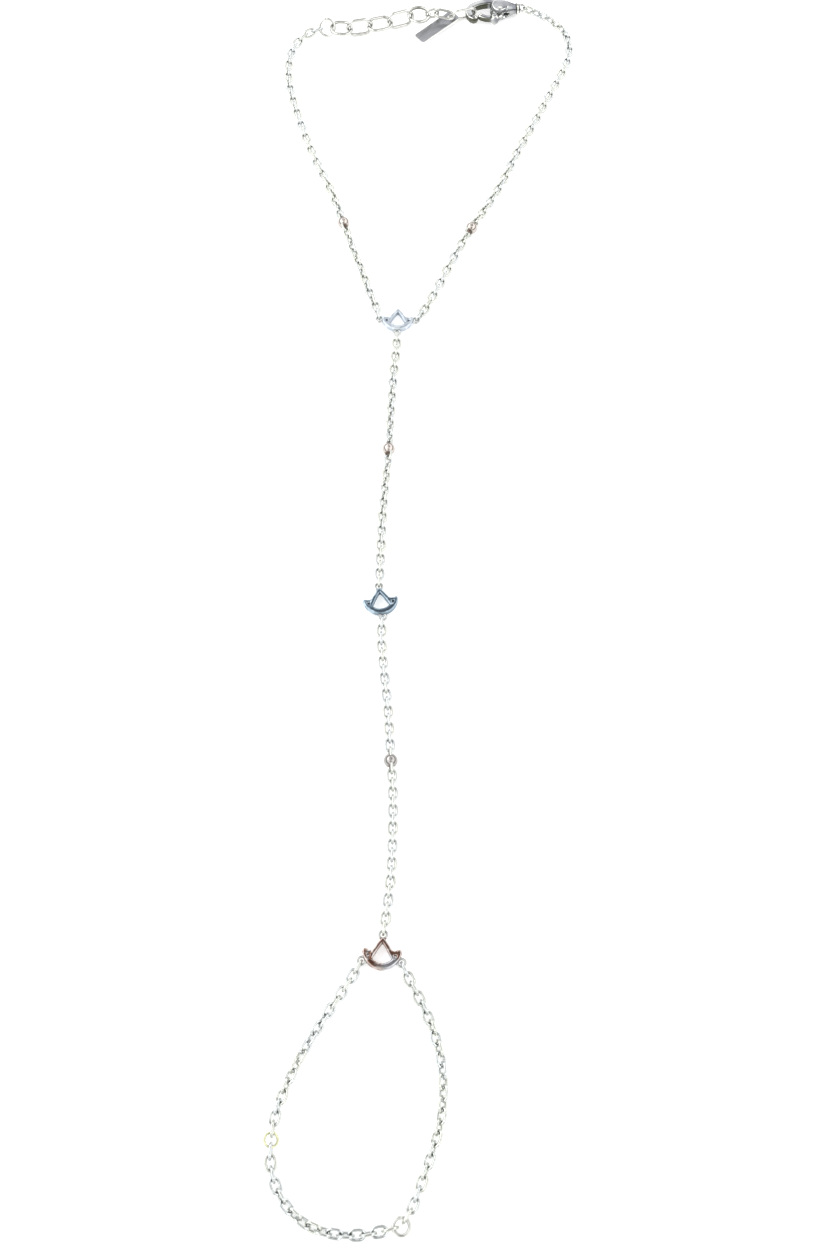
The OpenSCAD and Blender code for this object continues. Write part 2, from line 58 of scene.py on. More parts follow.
class Tone:
    """One output of a shader node. Sums and products of it add the nodes that work them out."""

    def __init__(self, tree, socket=None):
        self.tree, self.socket = tree, socket

    def node(self, kind, settings=None, inputs=None, output=0):
        made = self.tree.nodes.new("ShaderNode" + kind)
        for name, value in (settings or {}).items():
            setattr(made, name, value)
        for key, value in (inputs or {}).items():
            if isinstance(value, Tone):
                self.tree.links.new(value.socket, made.inputs[key])
            elif isinstance(value, tuple) and made.inputs[key].type == "RGBA":
                made.inputs[key].default_value = (*value, 1.0)
            else:
                made.inputs[key].default_value = value
        return Tone(self.tree, made.outputs[output] if made.outputs else None)

    def maths(self, operation, a, b):
        return self.node("Math", {"operation": operation}, {0: a, 1: b})

    def __add__(self, other):
        return self.maths("ADD", self, other)

    def __radd__(self, other):
        return self.maths("ADD", other, self)

    def __sub__(self, other):
        return self.maths("SUBTRACT", self, other)

    def __rsub__(self, other):
        return self.maths("SUBTRACT", other, self)

    def __mul__(self, other):
        return self.maths("MULTIPLY", self, other)

    def __rmul__(self, other):
        return self.maths("MULTIPLY", other, self)

    def between(self, low, high):
        """0 below low, 1 above high and smooth in between."""
        return self.node("MapRange", {"interpolation_type": "SMOOTHSTEP"},
                         {"Value": self, "From Min": low, "From Max": high})

    def blend(self, first, second):
        """The first colour where this is 0, and the second where it is 1."""
        return self.node("Mix", {"data_type": "RGBA"}, {0: self, 6: first, 7: second}, 2)


sky = bpy.data.worlds.new("studio_sky")
scene.world = sky
sky.use_nodes = True
sky.node_tree.nodes.clear()
air = Tone(sky.node_tree)
ray = air.node("TexCoord", output=0)
glow = (1.0, 1.0, 1.0)
far_room = (74, 1, 0.80, (0.10, 0.10, 0.102))
camera_side = (52, -1, 0.925, (0.11, 0.115, 0.08))
for climb, toward, rim, dim in (far_room, camera_side):
    centre = (0.0, toward * math.cos(math.radians(climb)), math.sin(math.radians(climb)))
    near = air.node("VectorMath", {"operation": "DOT_PRODUCT"}, {0: ray, 1: centre}, 1)
    glow = near.between(rim, 0.985).blend(glow, dim)
height = air.node("SeparateXYZ", inputs={0: ray}, output=2)
flags = height.between(-0.02, 0.05) * (1 - height.between(0.30, 0.46))
glow = flags.blend(glow, (0.21, 0.215, 0.21))
lit = air.node("Background", inputs={"Color": glow, "Strength": 1.95})
air.node("OutputWorld", inputs={"Surface": lit})

softbox = bpy.data.objects.new("softbox", bpy.data.lights.new("softbox", "AREA"))
scene.collection.objects.link(softbox)
softbox.data.shape, softbox.data.size = "DISK", 0.3
softbox.data.energy = 0.25
softbox.location = Vector((-190.0, 60.0, 260.0)) * mm
softbox.rotation_euler = (look_at - softbox.location).to_track_quat("-Z", "Y").to_euler()


def surface(name):
    """A new material, its tree and an empty tone to start expressions from."""
    made = bpy.data.materials.new(name)
    made.use_nodes = True
    made.node_tree.nodes.clear()
    return made, Tone(made.node_tree)


def spot_on(tone):
    """The place on a piece, in millimetres."""
    return tone.node("VectorMath", {"operation": "SCALE"}, {0: tone.node("TexCoord", output=3), "Scale": 1 / mm})


def noise(spot, scale, detail):
    """Soft lumps over a place, more to the unit with a larger scale."""
    return spot.node("TexNoise", inputs={"Vector": spot, "Scale": scale, "Detail": detail})


def mask(tone, name):
    """The values that a mesh stores under a name, one for each of its points."""
    return tone.node("Attribute", {"attribute_name": name}, output=2)


def relief(height, strength, depth):
    """Bumps that follow a tone, for a shader's Normal."""
    return height.node("Bump", inputs={"Strength": strength, "Distance": depth, "Height": height})


def principled(start, fixed, **varying):
    """Ends a material: fixed values sit on the shader's own sockets, the rest are links."""
    links = {key.replace("_", " "): value for key, value in varying.items()}
    shader = start.node("BsdfPrincipled", inputs={**fixed, **links})
    start.node("OutputMaterial", inputs={"Surface": shader})


table_paint, tone = surface("table_white")
grain = noise(tone.node("TexCoord", output=3), 900.0, 3.0)
principled(tone, {"Emission Color": (1.0, 1.0, 1.0), "Emission Strength": 0.45},
           Base_Color=grain.between(0.3, 0.7).blend((0.79, 0.79, 0.79), (0.81, 0.81, 0.81)),
           Roughness=0.55 + 0.1 * grain)
table = bpy.data.meshes.new("table")
half = 2.5
table.from_pydata([(-half, -half, 0), (half, -half, 0), (half, half, 0), (-half, half, 0)], [], [(0, 1, 2, 3)])
table = bpy.data.objects.new("table", table)
scene.collection.objects.link(table)
table.data.materials.append(table_paint)


# Fine chain: 223 oval links of drawn steel wire, each bent through its neighbour, soldered shut on
# one side and tumbled bright. The inner side of each link carries painted shade, darkest at the bends.
chains = ["wrist_chain_left_lower", "wrist_chain_left_upper", "wrist_chain_right_lower", "wrist_chain_right_upper",
          "hand_chain_1", "hand_chain_2", "hand_chain_3", "hand_chain_4",
          "finger_chain_left_upper", "finger_chain_left_lower", "finger_chain_right"]
chain_wire, chain_link_width, link_gap = 0.4, 1.55, 0.14


def seats(node):
    """Where each loose solid of a CAD node lies: middle, unit axes from long to thin, and lengths."""
    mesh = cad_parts[node].data
    points = np.zeros(len(mesh.vertices) * 3)
    mesh.vertices.foreach_get("co", points)
    points = points.reshape(-1, 3)
    mesh.calc_loop_triangles()
    corners = np.zeros(len(mesh.loop_triangles) * 3, int)
    mesh.loop_triangles.foreach_get("vertices", corners)
    corners = corners.reshape(-1, 3)
    _, same = np.unique(np.round(points / 1e-7).astype(np.int64), axis=0, return_inverse=True)
    same = same.reshape(-1)
    faces = same[corners]
    group = np.arange(same.max() + 1)
    while True:
        low = group[faces].min(1)
        new = group.copy()
        np.minimum.at(new, faces.ravel(), np.repeat(low, 3))
        new = new[new]
        if (new == group).all():
            break
        group = new
    owner = group[faces[:, 0]]
    found = []
    for one in sorted(set(owner)):
        three = points[corners[owner == one]]
        area = np.linalg.norm(np.cross(three[:, 1] - three[:, 0], three[:, 2] - three[:, 0]), axis=1) / 2
        middle = (three.mean(1) * area[:, None]).sum(0) / area.sum()
        arms = three - middle
        total = arms.sum(1)
        spread = (np.einsum("n,nki,nkj->ij", area, arms, arms) + np.einsum("n,ni,nj->ij", area, total, total)) / 12
        axes = np.linalg.eigh(spread)[1][:, ::-1].T
        if axes[2][2] < 0:
            axes[2] = -axes[2]
        axes[1] = np.cross(axes[2], axes[0])
        along = arms.reshape(-1, 3) @ axes.T
        middle = middle + ((along.max(0) + along.min(0)) / 2) @ axes
        found.append((middle, axes, along.max(0) - along.min(0)))
    return found


def full_turn(steps):
    """Even angles once round, in radians."""
    return np.radians(np.arange(steps) * 360.0 / steps)


def wrap(rows, sides, closed):
    """Faces between rows of points: the last row meets the first, or else both end rows get a cap."""
    faces = [(i * sides + k, i * sides + (k + 1) % sides,
              (i + 1) % rows * sides + (k + 1) % sides, (i + 1) % rows * sides + k)
             for i in range(rows if closed else rows - 1) for k in range(sides)]
    if not closed:
        faces += [tuple(range(sides))[::-1], tuple(range((rows - 1) * sides, rows * sides))]
    return faces


def oval_line(length, width, bend_steps, side_steps):
    """Middle line of an oval wire link: two half circles joined by two straight sides."""
    r = width / 2
    half = max(0.0, length / 2 - r)
    turn = np.radians(np.linspace(-90, 90, bend_steps + 1))
    right = np.stack([half + r * np.cos(turn), r * np.sin(turn)], 1)
    top = np.stack([np.linspace(half, -half, side_steps + 1)[1:-1], np.full(side_steps - 1, r)], 1)
    flat = np.concatenate([right, top]) if half > 0.02 * length else right[:-1]
    return np.concatenate([flat, -flat])


def tube(line, radii, sides):
    """Points and faces of a closed wire along a flat closed line, and how far each point faces the inside."""
    ahead = np.roll(line, -1, 0) - np.roll(line, 1, 0)
    ahead /= np.linalg.norm(ahead, axis=1)[:, None]
    inward = np.stack([-ahead[:, 1], ahead[:, 0]], 1)
    a = full_turn(sides)
    flat = line[:, None] + radii[:, None, None] * np.cos(a)[None, :, None] * inward[:, None]
    rise = radii[:, None] * np.sin(a)[None, :]
    points = np.concatenate([flat, rise[:, :, None]], 2).reshape(-1, 3)
    return points, wrap(len(line), sides, True), np.tile(np.cos(a), len(line))


def joined(shells):
    """Several sets of points and faces as one."""
    starts = np.cumsum([0] + [len(points) for points, _ in shells])
    faces = [tuple(int(v + start) for v in face) for (_, own), start in zip(shells, starts) for face in own]
    return np.concatenate([points for points, _ in shells]).tolist(), faces


def store(mesh, name, values):
    """Stores a value for each point of a mesh, which its material reads as a mask."""
    mesh.attributes.new(name, "FLOAT", "POINT").data.foreach_set("value", np.asarray(values, np.float32))


def piece(name, parts, material, body, nodes):
    """One mesh object from several sets of points and faces, each point with its mask values."""
    points, faces = joined([(part["points"], part["faces"]) for part in parts])
    mesh = bpy.data.meshes.new(name)
    mesh.from_pydata(points, [], faces)
    mesh.polygons.foreach_set("use_smooth", [True] * len(faces))
    for key in [k for k in parts[0] if k not in ("points", "faces")]:
        store(mesh, key, np.concatenate([np.broadcast_to(part[key], len(part["points"])) for part in parts]))
    mesh.materials.append(material)
    made = bpy.data.objects.new(name, mesh)
    scene.collection.objects.link(made)
    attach(made, body)
    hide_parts(*nodes)


def wire_link(seat, wire, rng, bend_steps=14, side_steps=4, sides=12, weld=0.05):
    """A wire link on the seat of its CAD solid, thicker by the weld at the joint in one of its sides."""
    middle, axes, size = seat
    line = oval_line(size[0] - wire, size[1] - wire, bend_steps, side_steps)
    n = len(line)
    from_joint = np.abs((np.arange(n) - (bend_steps + side_steps / 2) + n / 2) % n - n / 2)
    joint = np.exp(-(from_joint / 1.1) ** 2)
    points, faces, inside = tube(line, wire / 2 * (1 + weld * joint), sides)
    # The painted shade on the inner side is strongest at the bends, where the neighbouring links pass through.
    nook = np.clip((np.abs(line[:, 0]) / np.abs(line[:, 0]).max() - 0.35) / 0.45, 0, 1)
    return {"points": middle + points @ axes, "faces": faces,
            "inside": inside * (0.45 + 0.55 * np.repeat(nook, sides)),
            "joint": np.repeat(joint, sides), "lot": rng.random()}


def drawn_wire(name, low, high, painted_shade, depth):
    """Steel of a wire piece: two tints that vary from link to link, and painted shade on its inner side."""
    made, tone = surface(name)
    spot = spot_on(tone)
    inside, joint, lot = (mask(tone, n) for n in ("inside", "joint", "lot"))
    smear, pits = noise(spot, 1.1, 2.0), noise(spot, 9.0, 4.0)
    bright = (0.35 * smear).blend(lot.between(0.15, 0.85).blend(low, high), (0.70, 0.70, 0.69))
    # Painted shade on the inner side of the wire, uneven with the pits, where the links pass through each other.
    hollow = depth * inside.between(0.25, 0.90) * (0.75 + 0.4 * pits)
    metal = (0.3 * joint).blend(hollow.blend(bright, painted_shade), (0.48, 0.48, 0.44))
    principled(tone, {"Metallic": 1.0}, Base_Color=metal, Normal=relief(pits, 0.12, 0.00002),
               Roughness=0.08 + 0.08 * pits + 0.22 * hollow + 0.15 * joint)
    return made


chain_steel = drawn_wire("chain_steel", (0.66, 0.68, 0.62), (0.64, 0.67, 0.68), (0.075, 0.085, 0.062), 0.95)
draw = np.random.default_rng(11)
for strand in chains:
    links = [wire_link(seat, chain_wire * mm, draw) for seat in seats(strand)]
    piece("fine_" + strand, links, chain_steel, "bracelet", [strand])


# Lotus connectors: one small pattern cast three times in steel, a bowl whose two ends curl up into
# ears round a pointed middle petal. The face is tumbled and its edges rubbed bright. Each cast's
# colour, pale blue, steel blue or bronze, is a painted reflection of its surroundings, with painted
# shade in its corners. Soldered eyes on the rim and the tip take the chain.
bowl_y = 0.6
tip_eye, rim_eye_r = (0.0, 2.545), 2.915
eye_r, eye_wire = 0.515, 0.35
lotus_z = 0.775


def bar(line, widths, heights, power, sides=20):
    """Points and faces of a flat bar with round ends that follows an open line in the plane z = 0."""
    line, widths, heights = (np.asarray(a, float) for a in (line, widths, heights))
    ahead = np.gradient(line, axis=0)
    ahead /= np.linalg.norm(ahead, axis=1)[:, None]
    turn = np.radians(np.linspace(90, 0, 5, endpoint=False))

    def round_end(i, way, turns):
        return [(line[i] + way * ahead[i] * widths[i] * math.sin(t), ahead[i],
                 math.cos(t) * widths[i], math.cos(t) * heights[i]) for t in turns]

    rows = [*round_end(0, -1, turn), *zip(line, ahead, widths, heights), *round_end(-1, 1, turn[::-1])]
    a = full_turn(sides)
    across = np.sign(np.cos(a)) * np.abs(np.cos(a)) ** (2 / power)
    up = np.sign(np.sin(a)) * np.abs(np.sin(a)) ** (2 / power)
    points = []
    thinnest = 1e-4
    for middle, way, w, h in rows:
        w, h = max(w, thinnest), max(h, thinnest)
        points += [(middle[0] - way[1] * w * c, middle[1] + way[0] * w * c, h * s) for c, s in zip(across, up)]
    return np.array(points), wrap(len(rows), sides, False)


def ring_wire(r, wire):
    """Points and faces of a round ring, its radius up to the middle of its wire."""
    turn = full_turn(40)
    points, faces, _ = tube(r * np.stack([np.cos(turn), np.sin(turn)], 1), np.full(len(turn), wire / 2), 14)
    return points, faces


def cast(name, shells, grain, smooth):
    """Melts overlapping shells, in millimetres, into one cast skin with small fillets."""
    mesh = bpy.data.meshes.new(name)
    points, faces = joined(shells)
    mesh.from_pydata(points, [], faces)
    rough = bpy.data.objects.new(name, mesh)
    scene.collection.objects.link(rough)
    melt = rough.modifiers.new("melt", "REMESH")
    melt.mode, melt.voxel_size, melt.use_smooth_shade = "VOXEL", grain, True
    ease = rough.modifiers.new("ease", "SMOOTH")
    ease.factor, ease.iterations = 0.5, smooth
    done = bpy.data.meshes.new_from_object(rough.evaluated_get(bpy.context.evaluated_depsgraph_get()))
    bpy.data.objects.remove(rough)
    return done


def mark_edges(mesh, rounds=5):
    """Stores how convex the skin is round each point, in 1/mm: a little over 1 on edges, below 0 in corners."""
    count = len(mesh.vertices)
    points, ways, ends = np.zeros(count * 3), np.zeros(count * 3), np.zeros(len(mesh.edges) * 2, int)
    mesh.vertices.foreach_get("co", points)
    mesh.vertices.foreach_get("normal", ways)
    mesh.edges.foreach_get("vertices", ends)
    points, ways = points.reshape(-1, 3), ways.reshape(-1, 3)
    a, b = ends.reshape(-1, 2).T
    step = points[b] - points[a]
    sums = [((ways[b] - ways[a]) * step).sum(1), (step ** 2).sum(1)]
    sums = [np.bincount(a, v, count) + np.bincount(b, v, count) for v in sums]
    for _ in range(rounds):
        sums = [2 * v + np.bincount(a, v[b], count) + np.bincount(b, v[a], count) for v in sums]
    store(mesh, "crown", sums[0] / sums[1])
    return points


def turned(points, angle, a=0, b=1):
    """Points turned by an angle in degrees, from axis a towards axis b."""
    c, s = math.cos(math.radians(angle)), math.sin(math.radians(angle))
    moved = points.copy()
    moved[:, a] = points[:, a] * c - points[:, b] * s
    moved[:, b] = points[:, a] * s + points[:, b] * c
    return moved


def place(mesh, name, at, turn, material, body, nodes):
    """Sets a mesh, made in millimetres round its own origin, on its seat in the frame."""
    moved = (turned(mark_edges(mesh), turn) + at) * mm
    mesh.vertices.foreach_set("co", moved.ravel())
    mesh.polygons.foreach_set("use_smooth", [True] * len(mesh.polygons))
    mesh.materials.clear()
    mesh.materials.append(material)
    made = bpy.data.objects.new(name, mesh)
    scene.collection.objects.link(made)
    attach(made, body)
    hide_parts(*nodes)


def smooth_line(points, count):
    """Even points along a rounded line through the given ones, values beside x and y included."""
    p = np.asarray(points, float)
    p = np.concatenate([2 * p[:1] - p[1:2], p, 2 * p[-1:] - p[-2:-1]])
    found = []
    for i in range(1, len(p) - 2):
        for t in np.arange(count) / count:
            a, b, c, d = p[i - 1:i + 3]
            found.append(0.5 * (2 * b + (c - a) * t + (2 * a - 5 * b + 4 * c - d) * t ** 2
                                + (3 * b - a - 3 * c + d) * t ** 3))
    found.append(p[-2])
    return np.array(found)


def lotus_shells(eyes, knob):
    """Bars of a lotus round its own origin: x, y, half width and half height along each."""
    angle = np.linspace(-176, -4, 60)
    low = np.clip((68 - np.abs(angle + 90)) / 26, 0, 1)
    low = low * low * (3 - 2 * low)
    r = 2.26 - 0.175 * low
    turn = np.radians(angle)
    rim = np.stack([r * np.cos(turn), bowl_y + r * np.sin(turn)], 1)
    shells = [bar(rim, 0.27 + 0.18 * low, 0.5 * (0.90 + 0.08 * low), 3.4)]
    for side in (-1, 1):
        leg = smooth_line([(side * x, y, w, h) for x, y, w, h in (
            (0, 1.86, 0.30, 0.50), (0.51, 1.19, 0.29, 0.50), (1.0, 0.46, 0.33, 0.49),
            (1.27, 0.02, 0.36, 0.47), (1.38, -0.36, 0.25, 0.45), (1.52, -0.72, 0.24, 0.43))], 8)
        ear = smooth_line([(side * x, y, w, h) for x, y, w, h in (
            (2.12 - 0.5 * knob, 0.20 + 1.5 * knob, 0.39 + knob, 0.47), (1.90, 0.24, 0.30 + 0.5 * knob, 0.45),
            (1.55, 0.26, 0.27, 0.45), (1.10, 0.30, 0.27, 0.45))], 6)
        shells += [bar(form[:, :2], form[:, 2], form[:, 3], 3.4) for form in (leg, ear)]
    for x, y in eyes:
        points, faces = ring_wire(eye_r, eye_wire)
        shells.append((points + (x, y, 0), faces))
    return shells


def rim_eye(angle):
    """Where an eye sits under the rim, at an angle round the middle of the bowl."""
    turn = math.radians(angle)
    return rim_eye_r * math.cos(turn), bowl_y + rim_eye_r * math.sin(turn)


lotuses = {"lotus_wrist": ((-5.4, 30.5), -2, [rim_eye(-8), rim_eye(188), rim_eye(-90)]),
           "lotus_hand": ((-7.5, -19.0), 7, [tip_eye, rim_eye(-90)]),
           "lotus_finger": ((-6.8, -68.5), -3, [tip_eye, rim_eye(-30), rim_eye(210)])}
# Per cast: face and edge tints that are painted reflections, a painted shade colour for the corners, and a
# roughness.
painted_reflection_tints = {"lotus_wrist": ((0.46, 0.51, 0.57), (0.68, 0.73, 0.78), (0.22, 0.26, 0.31), 0.36),
           "lotus_hand": ((0.15, 0.21, 0.27), (0.44, 0.54, 0.62), (0.035, 0.055, 0.08), 0.20),
           "lotus_finger": ((0.22, 0.115, 0.08), (0.66, 0.59, 0.56), (0.05, 0.025, 0.018), 0.18)}
for name, ((x, y), turn, eyes) in lotuses.items():
    face, edge, painted_shade, dull = painted_reflection_tints[name]
    brown = name == "lotus_finger"
    lotus_steel, tone = surface(name + "_cast")
    spot = spot_on(tone)
    cloud, skin = noise(spot, 1.3, 3.0), noise(spot, 14.0, 5.0)
    crown, eye = mask(tone, "crown"), mask(tone, "eye")
    # Painted reflections: the cast's face and edge tints mixed in soft patches.
    metal = cloud.between(0.50, 0.62).blend(face, edge)
    metal = (0.75 * crown.between(1.0, 2.2)).blend(metal, edge)
    # Painted reflection: a pale patch on the lower right of the bronze cast's rim.
    metal = mask(tone, "painted_pale_reflection").blend(metal, (0.58, 0.60, 0.64))
    # Painted shade darkens the concave corners of the cast.
    metal = (1 - crown.between(-1.6, -0.3)).blend(metal, painted_shade)
    metal = eye.blend(metal, (0.62, 0.63, 0.62))
    principled(tone, {"Metallic": 1.0}, Base_Color=metal, Normal=relief(skin, 0.15, 0.00003),
               Roughness=dull + 0.10 * skin - 0.5 * dull * eye)
    mesh = cast("cast_" + name, lotus_shells(eyes, 0.08 if brown else 0.0), 0.04, 2)
    points = np.array([v.co for v in mesh.vertices])
    bright = np.zeros(len(points))
    for eye_x, eye_y in eyes:
        near = np.hypot(points[:, 0] - eye_x, points[:, 1] - eye_y) < 0.75
        beyond = np.hypot(points[:, 0], points[:, 1] - bowl_y) - (math.hypot(eye_x, eye_y - bowl_y) - 0.40)
        bright = np.maximum(bright, near * np.clip(beyond / 0.08, 0, 1))
    store(mesh, "eye", bright)
    # Where the painted pale reflection lies: the lower right of the rim, on the bronze cast only.
    bearing = np.degrees(np.arctan2(points[:, 1] - bowl_y, points[:, 0]))
    lower_right = np.clip((bearing + 92) / 14, 0, 1) * np.clip((-22 - bearing) / 14, 0, 1)
    store(mesh, "painted_pale_reflection", 0.85 * brown * lower_right)
    place(mesh, "cast_" + name, (x, y, lotus_z), turn, lotus_steel, "bracelet", [name])


# Beads: hollow balls pressed from two steel shells, so a seam runs round each in the upright plane of
# the chain. Each is soldered on one link of its own, whose ends stick out of its two punched holes.
beads = {"bead_wrist_left": (-14.4, 50.3, 107, 45), "bead_wrist_right": (6.6, 49.2, 62, 45),
         "bead_hand_upper": (-6.6, 6.6, -93, 45), "bead_hand_lower": (-5.9, -42.7, -86, 80)}
bead_r = 0.95


def lathe(profile, steps):
    """Points and faces of a solid turned about the x axis: x, growing, and radius along its profile."""
    points = [(x, r * math.cos(a), r * math.sin(a)) for x, r in profile for a in full_turn(steps)]
    return np.array(points), wrap(len(profile), steps, False)


bead_steel, tone = surface("bead_steel")
spot = spot_on(tone)
seam, hole, inside = (mask(tone, n) for n in ("seam", "hole", "inside"))
blush, pits = noise(spot, 0.8, 2.0), noise(spot, 12.0, 4.0)
metal = blush.between(0.35, 0.65).blend((0.52, 0.485, 0.45), (0.54, 0.48, 0.455))
metal = mask(tone, "grey").blend(metal, (0.34, 0.335, 0.33))
metal = mask(tone, "loop").blend(metal, (0.65, 0.67, 0.63))
# Painted shade on the inner side of each bead's own loop.
metal = (0.8 * inside.between(0.25, 0.9)).blend(metal, (0.10, 0.10, 0.08))
metal = (0.6 * seam).blend(metal, (0.20, 0.17, 0.15))
# Painted shade: a dark brown spot in each pit round the holes, where the wire goes in.
metal = (0.85 * hole).blend(metal, (0.20, 0.14, 0.11))
principled(tone, {"Metallic": 1.0}, Base_Color=metal, Normal=relief(pits, 0.1, 0.00002),
           Roughness=0.07 + 0.10 * pits + 0.3 * hole + 0.2 * seam)
side = np.radians(np.concatenate([np.linspace(-89.7, -6, 22), np.linspace(-5, 5, 11), np.linspace(6, 89.7, 22)]))
bead_steps = 96
ball, ball_faces = lathe([(math.sin(s), math.cos(s)) for s in side], bead_steps)
ball = ball[:, [2, 0, 1]]
from_hole = np.arccos(np.clip(np.abs(ball[:, 0]), 0, 1))
lip = np.exp(-((from_hole - 0.70) / 0.10) ** 2)
pit = 1 / (1 + np.exp((from_hole - 0.56) / 0.05))
groove = np.repeat(np.exp(-(np.degrees(side) / 2.6) ** 2), bead_steps)
ball *= (bead_r + 0.02 * lip - 0.10 * pit - 0.05 * groove)[:, None]
room = bead_r + 2 * link_gap + chain_wire
own_line = oval_line(2 * room + chain_wire, chain_link_width - chain_wire, 16, 6)
own_link, own_faces, inner = tube(own_line, np.full(len(own_line), chain_wire / 2), 14)
for name, (x, y, heading, roll) in beads.items():
    at = np.array((x, y, bead_r))
    shell = {"points": (at + turned(ball, heading)) * mm, "faces": ball_faces, "seam": groove, "hole": pit,
             "inside": 0.0, "grey": 0.8 * (name == "bead_hand_lower"), "loop": 0.0}
    loop = {"points": (at + turned(turned(own_link, roll, 1, 2), heading)) * mm, "faces": own_faces, "seam": 0.0,
            "hole": 0.0, "inside": inner, "grey": 0.0, "loop": 1.0}
    piece("ball_" + name, [shell, loop], bead_steel, "bracelet", [name])


# Extension and rings: thicker drawn wire bent to ovals and rounds. The ovals are soldered shut, and
# the rounds are jump rings, closed with pliers, so that a fine parting line crosses each of them.
# Links and rings carry the same painted shade on their inner sides as the fine chain.
link_steel = drawn_wire("link_steel", (0.64, 0.64, 0.61), (0.67, 0.67, 0.64), (0.16, 0.16, 0.14), 0.8)
ovals = {"extension_link_1": 0.6, "extension_link_2": 0.6, "extension_link_3": 0.6, "extension_link_4": 0.6,
         "connector_link": 0.4, "extension_link_5": 0.45, "end_link": 0.45}
for name, wire in ovals.items():
    link = wire_link(seats(name)[0], wire * mm, draw, bend_steps=28, side_steps=8, sides=24, weld=0.04)
    piece("drawn_" + name, [link], link_steel, "bracelet", [name])
side_steel = drawn_wire("side_ring_steel", (0.66, 0.66, 0.42), (0.65, 0.66, 0.40), (0.22, 0.22, 0.10), 0.8)
for name, wire, steel, slot in (("jump_ring", 0.45, link_steel, "link_steel"),
                                ("adjuster_ring", 0.6, link_steel, "link_steel"),
                                ("closing_ring", 0.45, link_steel, "link_steel"),
                                ("side_ring", 0.3, side_steel, "side_ring")):
    ring = wire_link(seats(name)[0], wire * mm, draw, bend_steps=48, side_steps=2, sides=24, weld=-0.16)
    piece("drawn_" + name, [ring], steel, "bracelet", [name])


# Tag: a flat bar stamped from steel sheet, its edges broken and its faces brushed along it, with
# nothing on them. It hangs by its punched hole from the end link and its far end rests on the table.
half_l, half_w, half_t = 4.3, 1.25, 0.225
corner, edge = 0.5, 0.07
hole_r, hole_in = 0.625, 1.1
tag_steel, tone = surface("tag_steel")
along, across, painted_side_highlight = (mask(tone, n) for n in ("along", "across", "rim"))
lines, cloud = (noise(tone.node("CombineXYZ", inputs={0: a * along, 1: b * across}), 1.0, 4.0)
                for a, b in ((0.35, 8.0), (0.4, 0.6)))
metal = cloud.between(0.3, 0.7).blend((0.36, 0.365, 0.39), (0.43, 0.435, 0.455))
# Painted highlight: the sides of the plate carry a bright band all round, and are less rough there.
metal = painted_side_highlight.blend(lines.between(0.40, 0.66).blend(metal, (0.29, 0.295, 0.315)), (0.80, 0.80, 0.76))
principled(tone, {"Metallic": 1.0}, Base_Color=metal, Normal=relief(lines, 0.25, 0.00002),
           Roughness=0.30 + 0.16 * lines - 0.12 * painted_side_highlight)
middle, axes, size = seats("tag")[0]
to_hole = np.array([v.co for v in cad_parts["tag"].data.vertices]).mean(0) - middle
if to_hole @ axes[0] > 0:
    axes[0], axes[1] = -axes[0], -axes[1]
outline = bpy.data.curves.new("tag_outline", "CURVE")
outline.dimensions, outline.fill_mode = "2D", "BOTH"
turn = np.radians(np.arange(0, 360, 7.5) + 3.75)
around = [(math.copysign(half_l - corner, math.cos(a)) + corner * math.cos(a),
           math.copysign(half_w - corner, math.sin(a)) + corner * math.sin(a)) for a in turn]
punch = [(hole_in - half_l + hole_r * math.cos(a), hole_r * math.sin(a)) for a in turn]
for path in (around, punch):
    spline = outline.splines.new("POLY")
    spline.points.add(len(path) - 1)
    for point, (x, y) in zip(spline.points, path):
        point.co = (x, y, 0.0, 1.0)
    spline.use_cyclic_u = True
outline.extrude, outline.bevel_depth, outline.bevel_resolution, outline.offset = half_t - edge, edge, 3, -edge
drawn = bpy.data.objects.new("tag_outline", outline)
scene.collection.objects.link(drawn)
plate = bpy.data.meshes.new_from_object(drawn.evaluated_get(bpy.context.evaluated_depsgraph_get()))
bpy.data.objects.remove(drawn)
points = np.array([v.co for v in plate.vertices])
store(plate, "along", points[:, 0])
store(plate, "across", points[:, 1])
store(plate, "rim", np.clip((half_t - 0.001 - np.abs(points[:, 2])) / 0.05, 0, 1))
plate.vertices.foreach_set("co", (middle + (points * mm) @ axes).ravel())
plate.materials.clear()
plate.materials.append(tag_steel)
plate.set_sharp_from_angle(angle=math.radians(40))
plate.name = "stamped_tag"
tag = bpy.data.objects.new("stamped_tag", plate)
scene.collection.objects.link(tag)
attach(tag, "bracelet")
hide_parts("tag")


# Clasp: a lobster clasp cast in steel. Hook, hub, neck and tail ring are one casting, filed to flat
# faces with soft edges, and a slot is milled into its hub for the lever, which turns on a rivet.
clasp_at, clasp_turn = (11.9, 99.2, 1.25), 6
rivet_at = (0.5, -0.9)
arm, bow, gate_centre = (-1.6, -3.4), (-3.351, -0.486), (-1.1, 0.9)
neck_profile = [(1.2, 1.5), (1.5, 1.5), (1.9, 1.42), (2.6, 1.12), (3.2, 0.88), (3.6, 0.78), (3.65, 1.0),
                (3.7, 1.05), (3.95, 1.05), (4.0, 1.0), (4.05, 0.78), (4.4, 0.7)]


def sweep(centre, r, start, end, half, power):
    """A bar along an arc, as tall as wide, its section between a round and a square."""
    turn = np.radians(np.linspace(start, end, 36))
    line = np.stack([centre[0] + r * np.cos(turn), centre[1] + r * np.sin(turn)], 1)
    return bar(line, np.full(len(turn), half), np.full(len(turn), half), power, 32)


def round_tip(r, x, y):
    """A ball in the middle plane of the clasp."""
    points, faces = lathe([(r * math.sin(a), r * math.cos(a)) for a in np.radians(np.linspace(-89, 89, 25))], 36)
    return points + (x, y, 0), faces


